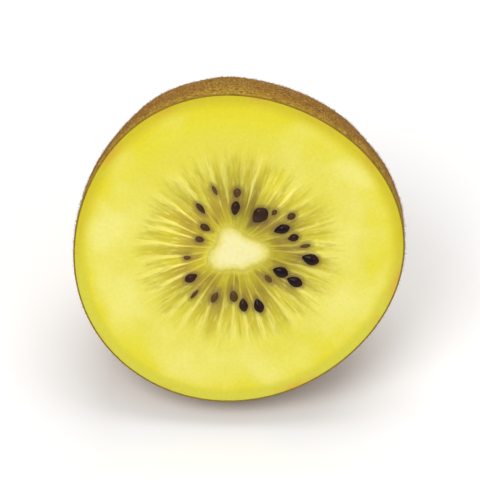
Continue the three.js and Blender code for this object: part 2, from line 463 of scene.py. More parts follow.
# %% Seed coat
SEED_BLACK, SEED_BROWN, SEED_FAINT = colour(18, 4, 6), colour(54, 20, 16), colour(104, 74, 30)


def seed_material():
    made, tree, shader = new_material(
        "seed_coat", Roughness=0.5, Specular_IOR_Level=0.05, Coat_Weight=0.24, Coat_Roughness=0.1,
    )
    place = wired(tree, "ShaderNodeTexCoord", output="Object")
    mottle = noise(tree, place, 900, 4).step(0.4, 0.75)
    base = layered(tree, SEED_BLACK, (mottle, SEED_BROWN), (read(tree, "tone"), SEED_FAINT))
    plug(tree, base, shader.inputs["Base Color"])
    pits = noise(tree, place, 3500, 2)
    bumped(tree, shader, pits, 0.05, 0.5)
    return made


# %% [markdown]
# The tree puts a drop on each place, turns and sizes it by what the place knows, and keeps the
# tone on the drop.

# %% Seeds from the tree


def seeds_tree(drop_object, material):
    tree, geometry, _ = new_tree("Seeds", {})
    turn = named_attribute(tree, "turn", "FLOAT_VECTOR")
    inputs = {
        "Points": geometry,
        "Instance": wired(tree, "GeometryNodeObjectInfo", {"Object": drop_object}, "Geometry"),
        "Rotation": wired(tree, "FunctionNodeEulerToRotation", {0: turn}),
        "Scale": named_attribute(tree, "size", "FLOAT_VECTOR"),
    }
    end_tree(tree, wired(tree, "GeometryNodeInstanceOnPoints", inputs), material)
    return tree


seeds = grown("seeds", seed_places, seeds_tree(seed_drop, seed_material()), {})
for helper in (seed_places, seed_drop):
    bpy.data.objects.remove(helper)

# %% [markdown]
# ## Flesh
# The flesh is one body: round outside, flat where the knife went, with a pocket for the core.
# Its cut face carries the look of the fruit, so it gets most of the mesh: fine rings from the
# core's edge to the peel. Each vertex also keeps its place in the fruit and its distance from
# the core and from the skin, because the colours follow those. Ripe flesh is cloudy: the list of
# patches says where it is paler, or deeper where the last number is below zero (degrees,
# distance and size in millimetres, how much paler).

# %% The flesh's rings
SIDES = 576
PEEL_EDGE = 0.26
SNUG = 0.02
WALL_RINGS = 14
FACE_RINGS = 118
PATCHES = [
    (58, 15.5, 4.0, 1.0), (170, 21, 5.0, 0.7), (207, 20, 4.5, 0.8), (255, 21, 5.0, 0.9),
    (285, 22, 4.0, 0.5), (12, 18, 5.0, 0.7), (335, 20, 4.5, 0.8), (97, 20, 7.0, -0.8),
    (132, 19, 4.0, -0.5), (35, 23, 3.0, 0.5), (156, 8.5, 3.6, 1.0), (112, 8, 2.5, 0.5),
    (200, 10, 2.6, 0.6), (202, 6.5, 2.2, 0.7), (66, 6.5, 2.6, -1.2), (-18, 9.5, 3.2, -0.25),
    (15, 7, 2.4, -0.4),
]


def core_ring(radius, z, angles):
    return ring(radius, z, angles, core_section, CORE_CENTRE)


def about_core(points):
    """Each point's angle and distance from the core's middle."""
    x, y = points[:, 0] - CORE_CENTRE[0], points[:, 1] - CORE_CENTRE[1]
    return np.arctan2(y, x), np.hypot(x, y)


def face_ring(share, angles):
    """A ring of the cut face: 0 at the core's edge and 1 at the peel."""
    inner = core_ring(CORE_RADIUS, 0.0, angles)
    outer = ring(CUT_RADIUS - PEEL_EDGE, 0.0, angles, fruit_section)
    return inner + (outer - inner) * share


def flesh_start():
    angles = even_angles(SIDES)
    inset = PEEL_EDGE + SNUG
    rings = [ring(r, z, angles, fruit_section) for r, z in outline(inset, WALL_RINGS)[:-1]]
    shares = np.linspace(1, 0, FACE_RINGS + 1)
    rings += [face_ring(share, angles) for share in shares]
    rings.append(core_ring(CORE_RADIUS, -CORE_LENGTH / 2, angles))
    rings.append(core_ring(CORE_RADIUS * CORE_END_SHARE, -CORE_LENGTH, angles))
    foot = (0, 0, dimple(0) - (HALF_LENGTH - inset))
    made = mesh_of_rings("flesh_start", foot, rings, (*CORE_CENTRE, -CORE_LENGTH))
    points = points_of(made)
    turn = np.arctan2(points[:, 1], points[:, 0])
    reach = np.hypot(points[:, 0], points[:, 1])
    core_turn, core_reach = about_core(points)
    note(made, "fruit", points)
    note(made, "from_core", core_reach - CORE_RADIUS * core_section(core_turn))
    note(made, "from_skin", CUT_RADIUS * fruit_section(turn) - reach)
    note(made, "on_face", (points[:, 2] > -0.001).astype(float))
    pale = np.zeros(len(points))
    for degrees, distance, size, paler in PATCHES:
        middle = distance * np.array([math.cos(math.radians(degrees)), math.sin(math.radians(degrees))])
        away = np.hypot(points[:, 0] - middle[0], points[:, 1] - middle[1])
        pale += paler * np.exp(-((away / size) ** 2))
    note(made, "pale", pale)
    return made


flesh_base = flesh_start()
print("the cut face has a ring every", round((CUT_RADIUS - CORE_RADIUS) / FACE_RINGS, 2), "mm")

# %% [markdown]
# ## Seed chambers and rays
# Round the core stand three dozen seed chambers, the locules: spindles of clear, darker flesh
# that a thin pale ray parts from the next. Softer than the rays, they sink a little when the
# fruit is cut. One rule repeats for each: the angle, counted in chambers, says how far a point
# is from the rays on its left and right, and every ray has its own place, every chamber its
# own length and tone. A geometry tree works this out, sinks the face by it, and keeps the numbers
# for the colours. Round a seed the face is level, so that no ray cuts a notch in it, and swells.

# %% The cut face's tree
LOCULES = 36
FACE_SIZES = {
    "First ray": -2.0,
    "Ray shift": 0.4,
    "Ray width": 0.09,
    "Waver": 0.9,
    "Ray flare": 0.3,
    "Start": 0.1,
    "Start width": 0.9,
    "Reach": 19.0,
    "Reach variation": 5.0,
    "Taper": 6.5,
    "Depth": 0.12,
    "Seed swell": 0.1,
    "Grain": 0.05,
}


def cut_face_tree(seeds_object, material):
    tree, geometry, size = new_tree("Cut face", FACE_SIZES)
    place = named_attribute(tree, "fruit", "FLOAT_VECTOR")
    x, y, _ = place.parts()
    reach = (x * x + y * y).math("SQRT")
    waver = (noise(tree, place, 0.09, 1) - 0.5) * size["Waver"]
    turn = y.math("ARCTAN2", x) * (LOCULES / (2 * math.pi)) + LOCULES
    turn = turn - size["First ray"] * (LOCULES / 360) + waver
    cell = turn.math("FLOOR")

    def from_ray(number):
        shift = (chance(tree, number.math("FLOORED_MODULO", LOCULES), 3.0) - 0.5) * size["Ray shift"]
        return turn - number - shift

    past, ahead = from_ray(cell), from_ray(cell + 1)
    number = cell - past.math("LESS_THAN", 0.0) + ahead.math("GREATER_THAN", 0.0)
    number = number.math("FLOORED_MODULO", LOCULES)
    nearest = past.math("ABSOLUTE").math("MINIMUM", ahead.math("ABSOLUTE"))
    ray_number = cell + past.math("ABSOLUTE").math("GREATER_THAN", ahead.math("ABSOLUTE"))
    ray_tone = chance(tree, ray_number.math("FLOORED_MODULO", LOCULES), 57.0)
    off_ray = nearest * reach * (2 * math.pi / LOCULES)
    end = size["Reach"] + (chance(tree, number, 7.0) - 0.5) * size["Reach variation"]
    from_core = named_attribute(tree, "from_core")
    start = from_core.step(size["Start"], size["Start"] + size["Start width"])
    half_ray = size["Ray width"] + reach.step(8.0, 17.0) * size["Ray flare"]
    on_face = named_attribute(tree, "on_face")
    taper = reach.step(end, end - size["Taper"])
    locule = (off_ray / half_ray - 0.6).step(0.0, 1.8) * start * taper * on_face
    tone = chance(tree, number, 31.0)

    shape = wired(tree, "GeometryNodeObjectInfo", {"Object": seeds_object}, "Geometry")
    near = wired(tree, "GeometryNodeProximity", {0: shape}, "Distance", target_element="FACES")
    swell = near.step(1.1, 0.0) * on_face
    sunk = locule.math("MAXIMUM", near.step(1.0, 0.3) * on_face)

    grain = (noise(tree, place, 1.4, 4, 0.65) - 0.5) * size["Grain"] * on_face * from_core.step(0.0, 0.6)
    lift = swell * size["Seed swell"] - sunk * size["Depth"] + grain
    inputs = {"Geometry": geometry, "Offset": vector(tree, 0.0, 0.0, lift)}
    geometry = wired(tree, "GeometryNodeSetPosition", inputs)
    kept = {"locule": locule, "locule_tone": tone, "ray_tone": ray_tone, "near_seed": near}
    for name, value in kept.items():
        geometry = stored(tree, geometry, name, value)
    end_tree(tree, geometry, material)
    return tree


# %% [markdown]
# ## The flesh's colours
# From the core outwards the flesh goes from cream to a deep olive gold round the seeds, then to
# clear pale yellow, and to a fuller, slightly orange yellow under the peel. Three rows of
# colours along the distance from the axis hold this, for chambers, rays and outer flesh. Fine
# streaks run outwards through all of it: noise on a place made of the direction from the axis,
# counted large, and the distance, counted small, has long thin grains that point at the core.
# Each kind of grain has its count round, its stretch outwards, its detail and its roughness. The
# rim is painted greener on the low side, painted light for how the light falls there, and the
# cloudy patches reach in among the chambers.
# Light enters the flesh, so it needs subsurface scattering, and juice on the cut gives it a
# soft shine.

# %% Flesh material
LOCULE_TONES = [
    (4.1, colour(210, 196, 54)), (4.9, colour(193, 177, 36)), (6.0, colour(180, 161, 32)),
    (7.6, colour(163, 141, 38)), (9.0, colour(172, 152, 38)), (10.5, colour(190, 173, 44)),
    (12.5, colour(205, 191, 48)), (15.0, colour(216, 204, 56)), (18.0, colour(224, 213, 62)),
]
RAY_TONES = [
    (4.1, colour(218, 205, 72)), (5.0, colour(205, 191, 50)), (6.6, colour(194, 177, 46)),
    (8.2, colour(208, 192, 72)), (9.6, colour(228, 215, 94)), (12.0, colour(235, 225, 104)),
    (15.0, colour(236, 227, 102)), (18.5, colour(231, 222, 80)),
]
OUTER_TONES = [
    (19.0, colour(229, 219, 72)), (22.0, colour(230, 220, 48)), (24.0, colour(228, 216, 32)),
    (25.6, colour(212, 196, 30)),
]
OUTER_PALE = colour(240, 233, 126)
CHAMBER_OLIVE = colour(176, 160, 40)
ORANGE_TINT = colour(222, 162, 50)
# painted light: the greener tint on the low side of the rim
LOW_SIDE_PAINTED_LIGHT_TINT = colour(216, 212, 68)
SEED_STAIN = colour(104, 74, 48)
RAMP_END = 27.0
GRAINS = {
    "streak": (17, 0.16, 4, 0.6), "fine": (55, 0.4, 3, 0.6), "fleck": (30, 0.45, 2, 0.55),
    "dark fleck": (24, 0.3, 1, 0.55),
}


def ramp(tree, value, stops):
    """A row of colours along a distance in millimetres."""
    made = add_node(tree, "ShaderNodeValToRGB", {0: value / RAMP_END})
    elements = made.color_ramp.elements
    elements[0].position, elements[0].color = stops[0][0] / RAMP_END, stops[0][1]
    elements[1].position, elements[1].color = stops[-1][0] / RAMP_END, stops[-1][1]
    for distance, tint in stops[1:-1]:
        elements.new(distance / RAMP_END).color = tint
    return Wire(tree, made.outputs[0])


def flesh_material():
    made, tree, shader = new_material(
        "golden_flesh", Specular_IOR_Level=0.3, Subsurface_Weight=0.2,
        Subsurface_Radius=(1.0, 0.85, 0.3), Subsurface_Scale=1.1 * MM, Coat_Weight=0.2,
        Coat_Roughness=0.1,
    )
    place = read(tree, "fruit", True)
    x, y, _ = place.parts()
    reach = (x * x + y * y).math("SQRT") + 0.001
    direction_x, direction_y = x / reach, y / reach

    def grains(kind, first=direction_x, second=direction_y):
        count, stretch, detail, roughness = GRAINS[kind]
        grain_place = vector(tree, first * count, second * count, reach * stretch)
        return noise(tree, grain_place, 1.0, detail, roughness)

    streak, fine, flecks = grains("streak"), grains("fine"), grains("fleck")
    dark_flecks = grains("dark fleck", direction_y, direction_x)
    cloud = noise(tree, place, 0.11, 2)
    cells = noise(tree, place, 1.7, 4, 0.7)
    from_core, from_skin = read(tree, "from_core"), read(tree, "from_skin")
    locule, locule_tone = read(tree, "locule"), read(tree, "locule_tone")
    ray_tone, near_seed = read(tree, "ray_tone"), read(tree, "near_seed")

    even_reach = from_skin * -1 + CUT_RADIUS
    outer = ramp(tree, even_reach, OUTER_TONES)
    pale = read(tree, "pale")
    cloudy = pale * 0.6 + (cloud - 0.5) * 1.6 + 0.3
    paler = cloudy.step(0.0, 1.0) * from_skin.step(0.5, 3.6)
    # painted light: the low side of the rim is tinted greener for how the light falls there, not the
    # flesh's own colour
    low_side_painted_light = y.step(4.0, -10.0) * from_skin.step(2.6, 0.8) * 0.85
    orange = cloud.step(0.5, 0.75) * from_skin.step(1.8, 0.3) * 0.7
    outer = layered(tree, outer, (paler, OUTER_PALE), (low_side_painted_light, LOW_SIDE_PAINTED_LIGHT_TINT), (orange, ORANGE_TINT))

    middle_reach = (reach + from_core + CORE_RADIUS) * 0.5
    along = middle_reach + (streak - 0.5) * 3.0
    chamber = ramp(tree, along + (locule_tone - 0.4) * from_core.step(0.3, 2.0) * 4.5, LOCULE_TONES)
    ray = ramp(tree, along, RAY_TONES)
    ray_strength = ray_tone.step(-0.3, 0.8)
    base = blended(tree, (locule.flip() * ray_strength).flip(), ray, chamber)
    base = blended(tree, (reach + (streak - 0.5) * 3.0).step(14.0, 19.0), base, outer)
    dark_flecked = dark_flecks.step(0.52, 0.66) * reach.step(7.5, 10.0) * along.step(17.5, 13.5)
    flecked = flecks.step(0.54, 0.68) * reach.step(7.0, 10.0) * along.step(19.0, 14.0)
    stain = (near_seed + (cells - 0.5) * 0.5).step(0.8, 0.0)
    base = layered(
        tree, base, (dark_flecked * 0.4, CHAMBER_OLIVE), (flecked * 0.36, OUTER_PALE),
        (stain * 0.55, SEED_STAIN),
    )
    fade = reach.step(18.5, 10.0) * 0.92 + 0.08
    shade = (fine - 0.5) * fade * 0.5 + (streak - 0.5) * fade * 0.26 + (cells - 0.5) * 0.18 + 0.99
    shade = shade + pale * reach.step(15.0, 11.0) * 0.3
    base = blended(tree, 1.0, base, vector(tree, shade, shade, shade), "MULTIPLY")
    plug(tree, base, shader.inputs["Base Color"])
    plug(tree, cells * 0.25 + 0.25, shader.inputs["Roughness"])
    bumped(tree, shader, cells * 0.6 + fine * fade * 0.6, 0.16, 0.7)
    return made


flesh = grown("flesh", flesh_base, cut_face_tree(seeds, flesh_material()), FACE_SIZES)
bpy.data.objects.remove(flesh_base)

# %% [markdown]
# ## Core
# The core is a firm cream column, the way that food took through the fruit. On the cut it is an
# uneven triangle with round corners, a little off the axis. Its rings share the flesh's edge, so
# the two surfaces meet without a gap, and it is barely domed, because it is firmer than the flesh.

# %% Core mesh
CORE_SIDES = 144
CORE_FACE_RINGS = 24
CORE_DOME = 0.12
CREAM = colour(245, 237, 176)
CREAM_FIBRE = colour(238, 226, 142)
CREAM_RIM = colour(236, 222, 118)
CORE_EDGE = colour(210, 196, 66)


def core_start():
    angles = even_angles(CORE_SIDES)
    radius = CORE_RADIUS - SNUG
    end = radius * CORE_END_SHARE
    rings = [core_ring(end, -CORE_LENGTH + SNUG, angles), core_ring(radius, -CORE_LENGTH / 2, angles)]
    for share in np.linspace(1, 0, CORE_FACE_RINGS + 1)[:-1]:
        rings.append(core_ring(CORE_RADIUS * share, CORE_DOME * (1 - share**2), angles))
    first, last = (*CORE_CENTRE, -CORE_LENGTH + SNUG), (*CORE_CENTRE, CORE_DOME)
    made = mesh_of_rings("core", first, rings, last)
    points = points_of(made)
    turn, reach = about_core(points)
    note(made, "fruit", points)
    note(made, "out", reach / (CORE_RADIUS * core_section(turn)))
    return made


def core_material():
    made, tree, shader = new_material(
        "cream_core", Roughness=0.45, Subsurface_Weight=0.35, Subsurface_Radius=(1.0, 0.9, 0.5),
        Subsurface_Scale=1.5 * MM, Coat_Weight=0.15, Coat_Roughness=0.25,
    )
    place = read(tree, "fruit", True)
    out = read(tree, "out")
    fibre = noise(tree, place, 1.3, 4, 0.65)
    ragged = out + (fibre - 0.5) * 0.35
    base = layered(
        tree, CREAM, (fibre.step(0.35, 0.75) * 0.5, CREAM_FIBRE), (ragged.step(0.5, 0.9), CREAM_RIM),
        (ragged.step(0.78, 1.04), CORE_EDGE),
    )
    plug(tree, base, shader.inputs["Base Color"])
    bumped(tree, shader, fibre, 0.1, 0.5)
    return made


core = core_start()
core.data.materials.append(core_material())
print("the core is", round(2 * CORE_RADIUS, 1), "mm across")

# %% [markdown]
# ## Peel
# The peel is a cup of thin brown skin, a quarter of a millimetre thick where the knife cut it.
# Its rings run up the outside, over a small round edge and down the inside. Long, low waves
# over the outside keep it from looking turned on a lathe, and small folds draw in to the stem.

# %% Peel mesh
PEEL_SIDES = 288
PEEL_RINGS = 150
PEEL_INNER_RINGS = 18
PEEL_THICKNESS = 0.28
EDGE_ROUND = 0.05
WAVE_LENGTH, WAVE_HEIGHT = 10.0, 0.34
RIPPLE_LENGTH, RIPPLE_HEIGHT = 2.6, 0.05
PUCKERS, PUCKER_HEIGHT = 5.0, 0.35


def peel_start():
    angles = even_angles(PEEL_SIDES)
    outer = outline(0, PEEL_RINGS)
    inner = outline(PEEL_THICKNESS, PEEL_INNER_RINGS)
    edge = [
        (CUT_RADIUS, -EDGE_ROUND),
        (CUT_RADIUS - EDGE_ROUND, 0.0),
        (CUT_RADIUS - PEEL_THICKNESS + EDGE_ROUND, 0.0),
        (CUT_RADIUS - PEEL_THICKNESS, -EDGE_ROUND),
    ]
    profile = outer[:-1] + edge + inner[-2::-1]
    rings = [ring(r, z, angles, fruit_section) for r, z in profile]
    low, high = (0, 0, dimple(0) - HALF_LENGTH), (0, 0, dimple(0) - HALF_LENGTH + PEEL_THICKNESS)
    made = mesh_of_rings("peel_start", low, rings, high)
    outside = np.zeros(len(made.data.vertices))
    outside[: 1 + PEEL_SIDES * (len(outer) - 1)] = 1
    note(made, "outside", outside)
    note(made, "fruit", points_of(made))
    return made


def skin_relief_tree(material):
    sizes = {"Wave height": WAVE_HEIGHT, "Ripple height": RIPPLE_HEIGHT, "Pucker height": PUCKER_HEIGHT}
    tree, geometry, size = new_tree("Skin relief", sizes)
    place = named_attribute(tree, "fruit", "FLOAT_VECTOR")
    wave = (noise(tree, place, 1 / WAVE_LENGTH, 1) - 0.5) * size["Wave height"]
    ripple = (noise(tree, place, 1 / RIPPLE_LENGTH, 2) - 0.5) * size["Ripple height"]
    x, y, z = place.parts()
    reach = (x * x + y * y).math("SQRT") + 0.001
    folds = noise(tree, vector(tree, x / reach * PUCKERS, y / reach * PUCKERS, reach * 0.12), 1.0, 1)
    pucker = (folds - 0.5) * size["Pucker height"] * reach.step(3.0, 4.0) * reach.step(12.0, 4.0)
    at_stem_end = z.step(-20.0, -25.0)
    lift = (wave + ripple + pucker * at_stem_end) * named_attribute(tree, "outside")
    lift = lift * z.step(-0.3, -3.0) * 2
    inputs = {0: wired(tree, "GeometryNodeInputNormal"), "Scale": lift}
    offset = wired(tree, "ShaderNodeVectorMath", inputs, operation="SCALE")
    inputs = {"Geometry": geometry, "Offset": offset}
    end_tree(tree, wired(tree, "GeometryNodeSetPosition", inputs), material)
    return tree, sizes


# %% [markdown]
# ## The skin's finish
# From a step away the skin is bronze brown. It is lighter towards the stem end, partly its own
# colour and partly painted shade that darkens the skin further from the stem end. Next to the cut
# it is painted lighter and more golden: painted light, where the skin faces up into the light.
# Closer, gold and red patches drift over it, with fine pale grains in a darker ground.
# Noise of falling size gives them: broad patches, blotches, grains of about half a millimetre,
# and the dust between them. A few small brown scars are where the noise peaks. The cut edge
# shows the skin's olive inside.

# %% Skin material
SKIN_BROWN = colour(150, 106, 36)
SKIN_GOLD = colour(166, 136, 50)
SKIN_RED = colour(134, 78, 28)
SKIN_DARK = colour(94, 58, 18)
SKIN_PALE = colour(212, 174, 98)
# partly painted shade: with this the skin is lighter towards the stem end, partly its own colour
SKIN_RIPE_TONE_AND_PAINTED_SHADE = colour(196, 152, 74)
SKIN_STEM_END = colour(212, 156, 72)
SKIN_SCAR = colour(96, 52, 22)
SKIN_EDGE = colour(126, 104, 40)
# painted light: the lighter, more golden skin next to the cut
SKIN_PAINTED_LIGHT_NEAR_CUT = colour(192, 156, 48)
SKIN_NOISES = [
    (0.07, 3, 0.55), (0.05, 3, 0.55), (0.34, 4, 0.5), (0.75, 2, 0.55), (2.3, 3, 0.6), (6.0, 2, 0.6),
]


def skin_material():
    made, tree, shader = new_material("kiwi_skin", Roughness=0.8, Specular_IOR_Level=0.05)
    place = read(tree, "fruit", True)
    x, y, z = place.parts()
    reach = (x * x + y * y).math("SQRT")
    patch, blush, scars, mottle, grain, dust = (noise(tree, place, *row) for row in SKIN_NOISES)
    base = layered(
        tree, SKIN_BROWN,
        (patch.step(0.42, 0.85), SKIN_GOLD),
        # partly painted shade: lighter towards the stem end and darker towards the cut, partly the
        # skin's own colour
        ((z + (patch - 0.5) * 16).step(-9.0, -25.0) * 0.75, SKIN_RIPE_TONE_AND_PAINTED_SHADE),
        (blush.step(0.45, 0.8) * 0.8, SKIN_RED),
        (reach.step(11.0, 3.0) * 0.8, SKIN_STEM_END),
        # painted light: lighter and more golden next to the cut, where the skin faces up into the light
        ((z + (patch - 0.5) * 5).step(-5.5, 0.5) * 0.75, SKIN_PAINTED_LIGHT_NEAR_CUT),
        (mottle.step(0.5, 0.3) * 0.55, SKIN_DARK),
        (grain.step(0.52, 0.34) * 0.6, SKIN_DARK),
        (grain.step(0.52, 0.68) * 0.6, SKIN_PALE),
        (dust.step(0.6, 0.75) * 0.35, SKIN_PALE),
        (dust.step(0.42, 0.28) * 0.4, SKIN_DARK),
        (scars.step(0.7, 0.76) * 0.7, SKIN_SCAR),
        (z.step(-0.45, -0.1) * 0.7, SKIN_EDGE),
    )
    plug(tree, base, shader.inputs["Base Color"])
    bumped(tree, shader, grain * 0.7 + dust * 0.3, 0.28, 0.8)
    return made


skin = skin_material()
relief, relief_sizes = skin_relief_tree(skin)
peel_base = peel_start()
peel = grown("peel", peel_base, relief, relief_sizes)
bpy.data.objects.remove(peel_base)

# %% [markdown]
# ## Stem button
# Where the stem broke off there is a woody disc in a dimple, with the dried sepals of the
# flower still curled round it. The disc is turned from a short profile with a dark pit and a
# pale corky ring in it, and its edge is frayed. One rule bends a thin blade into a sepal: it
# leaves the disc along the skin, and then turns up and over. A fixed uneven row of numbers gives
# each of the seven another length, place, curl, sway and twist.

# %% Button mesh
BUTTON_PROFILE = [
    (0.35, 0.62), (0.8, 0.6), (1.2, 0.78), (1.5, 1.02), (1.8, 1.16), (2.1, 1.1), (2.4, 1.24),
    (2.8, 1.2), (3.1, 1.0), (3.3, 0.7), (3.36, 0.3),
]
BUTTON_SIDES = 72
BUTTON_SEAT = 0.05
PIT_RADIUS, CORK_RADIUS, CORK_WIDTH = 1.2, 2.0, 0.55
GOLDEN_ANGLE = math.pi * (3 - math.sqrt(5))


def uneven(index):
    """A share from -1 to 1 for each number, in an order with no pattern."""
    return math.sin(index * GOLDEN_ANGLE)


def button_start():
    angles = even_angles(BUTTON_SIDES)
    rim = BUTTON_PROFILE[-1][0]
    profile = [(r, skin_z(r) - height) for r, height in BUTTON_PROFILE]
    profile += [(rim, skin_z(rim) + BUTTON_SEAT), (rim / 2, skin_z(rim / 2) + BUTTON_SEAT)]
    rings = []
    for number, (r, z) in enumerate(profile):
        fray = 1 + 0.05 * np.sin(5 * angles + 0.4 * number) + 0.03 * np.sin(13 * angles + number)
        made = ring(r, z, angles, lambda turn: fray)
        if number < len(BUTTON_PROFILE):
            made[:, 2] += 0.07 * np.sin(9 * angles + 2 * number)
            made[:, 2] += 0.05 * np.sin(17 * angles + 5 * number)
        rings.append(made)
    low = (0, 0, skin_z(0) - BUTTON_PROFILE[0][1])
    made = mesh_of_rings("button", low, rings, (0, 0, skin_z(0) + BUTTON_SEAT))
    points = points_of(made)
    reach = np.hypot(points[:, 0], points[:, 1])
    note(made, "pit", np.exp(-((reach / PIT_RADIUS) ** 4)))
    note(made, "cork", np.exp(-(((reach - CORK_RADIUS) / CORK_WIDTH) ** 2)))
    return made


print("the button is", 2 * BUTTON_PROFILE[-1][0], "mm across")

# %% Sepals
SEPALS = 7
SEPAL_ROOT, SEPAL_LENGTH, SEPAL_WIDTH = 2.5, 4.8, 1.9
SEPAL_THICKNESS, SEPAL_CURL = 0.2, 3.4
SEPAL_STEPS, SEPAL_SIDES = 26, 14


def sepal(index):
    """One dried sepal: a cupped blade that follows the skin and then curls up and over."""
    length = SEPAL_LENGTH * (1 + 0.28 * uneven(index))
    curl = SEPAL_CURL * (1 + 0.5 * uneven(index + 1))
    turn = (index + 0.35 * uneven(index + 2)) * 2 * math.pi / SEPALS
    sway, twist = 1.3 * uneven(index + 3), 1.1 * uneven(index + 4)
    around = even_angles(SEPAL_SIDES)
    radius, height, heading, step = SEPAL_ROOT, 0.5, -0.1, length / SEPAL_STEPS
    rings = []
    for along in np.linspace(0, 1, SEPAL_STEPS):
        width = SEPAL_WIDTH * (0.35 + 0.65 * math.sin(math.pi * min(1, along + 0.3)) ** 0.7)
        width *= (1 - 0.55 * along) * (1 + 0.16 * math.sin(17 * along + 2 * index))
        across = 0.5 * width * np.cos(around)
        thick = 0.5 * SEPAL_THICKNESS * (1 - 0.5 * along) * np.sin(around)
        thick += 0.28 * np.abs(across) + 0.06 * np.sin(7 * across + 9 * along + index)
        lean = twist * along
        side = across * math.cos(lean) - thick * math.sin(lean) + sway * along**2
        lift = across * math.sin(lean) + thick * math.cos(lean)
        x = radius - lift * math.sin(heading)
        z = skin_z(radius) - height - lift * math.cos(heading)
        rings.append(np.stack([x, side, z], axis=1))
        heading += curl * along**1.6 / SEPAL_STEPS
        radius += step * math.cos(heading)
        height = max(height + step * math.sin(heading), 0.22)
    rings.reverse()
    made = mesh_of_rings(f"sepal_{index}", rings[0].mean(axis=0), rings[1:-1], rings[-1].mean(axis=0))
    made.data.transform(Matrix.Rotation(turn, 4, "Z"))
    return made


def joined(name, parts):
    """Several objects as one."""
    bpy.ops.object.select_all(action="DESELECT")
    for part in parts:
        part.select_set(True)
    bpy.context.view_layer.objects.active = parts[0]
    bpy.ops.object.join()
    parts[0].name = parts[0].data.name = name
    return parts[0]


BARK = colour(128, 80, 42)
BARK_DARK = colour(50, 26, 14)
BARK_GREY = colour(176, 140, 98)
CORK = colour(188, 142, 88)


def bark_material():
    made, tree, shader = new_material("dried_stem", Roughness=0.85, Specular_IOR_Level=0.1)
    place = wired(tree, "ShaderNodeTexCoord", output="Object")
    coarse = noise(tree, place, 420, 4, 0.65)
    fine = noise(tree, place, 2200, 3, 0.6)
    base = layered(
        tree, BARK_DARK, (coarse.step(0.35, 0.62), BARK), (fine.step(0.55, 0.75) * 0.6, BARK_GREY),
        (read(tree, "cork") * fine.step(0.3, 0.6) * 0.7, CORK), (read(tree, "pit") * 0.8, BARK_DARK),
    )
    plug(tree, base, shader.inputs["Base Color"])
    bumped(tree, shader, coarse * 0.6 + fine * 0.4, 0.4, 0.9)
    return made


stem_button = joined("stem_button", [button_start(), *[sepal(index) for index in range(SEPALS)]])
stem_button.data.materials.append(bark_material())
print("the stem button has", len(stem_button.data.polygons), "faces")

# %% [markdown]
# ## Laying the half down
# Every piece is now turned, moved and scaled by one matrix, in its mesh, so that its object
# stays at the origin. Then the soft underside is flattened where it lies: points under the
# surface are brought up to it, through a smooth bend at the edge of the flat spot. The peel's
# inside is brought up with its outside, so the peel is pressed thin there.

# %% Laid on its flat spot
FLAT_BEND = 0.12 * MM


def rest_on(made, level):
    """Brings the points of a mesh that are under a level up to it, with a soft bend."""
    points = points_of(made)
    depth = (points[:, 2] - level) / FLAT_BEND
    points[:, 2] = level + FLAT_BEND * np.logaddexp(0, depth)
    move_points(made, points)


for made in (peel, flesh, core, seeds, stem_button):
    made.data.transform(LAID)
    made.data.update()
rest_on(peel, 0.0)
rest_on(flesh, PEEL_THICKNESS * MM)
print("the peel's lowest point is at", round(points_of(peel)[:, 2].min() / MM, 3), "mm")

# %% [markdown]
# ## Specks and down
# The skin is sprinkled with small raised specks, its breathing pores, and with very short,
# stiff down, which catches the light at the edges. Both are scattered by one tree over the
# outside of the peel. Specks are low domes and lie flat, hairs are thin cones that lean over
# at random. Neither grows on the flat spot.

# %% Scatter tree
SIZE_NAMES = ("Distance", "Density", "Smallest", "Largest", "Lean", "Seed")
SPECK_SIZES = dict(zip(SIZE_NAMES, (0.95, 1.4, 0.45, 1.0, 0.0, 3)))
DOWN_SIZES = dict(zip(SIZE_NAMES, (0.34, 5.0, 0.5, 1.0, 1.15, 11)))
SPECK_WIDTH, SPECK_HEIGHT = 0.5, 0.07
HAIR_WIDTH, HAIR_LENGTH = 0.06, 0.55


def cone(name, width, height, sides, levels):
    """A small closed cone or dome that stands on the surface."""
    angles = even_angles(sides)
    points = [(0.5 * w * width * MM * math.cos(a), 0.5 * w * width * MM * math.sin(a), h * height * MM)
              for w, h in levels for a in angles]
    points.append((0, 0, height * MM))
    faces = []
    for level in range(len(levels) - 1):
        low, high = level * sides, (level + 1) * sides
        for i in range(sides):
            after = (i + 1) % sides
            faces.append((low + i, low + after, high + after, high + i))
    top = (len(levels) - 1) * sides
    faces += [(top + i, top + (i + 1) % sides, len(points) - 1) for i in range(sides)]
    faces.append(tuple(range(sides))[::-1])
    mesh = bpy.data.meshes.new(name)
    mesh.from_pydata(points, [], faces)
    mesh.shade_smooth()
    return add_object(name, mesh)


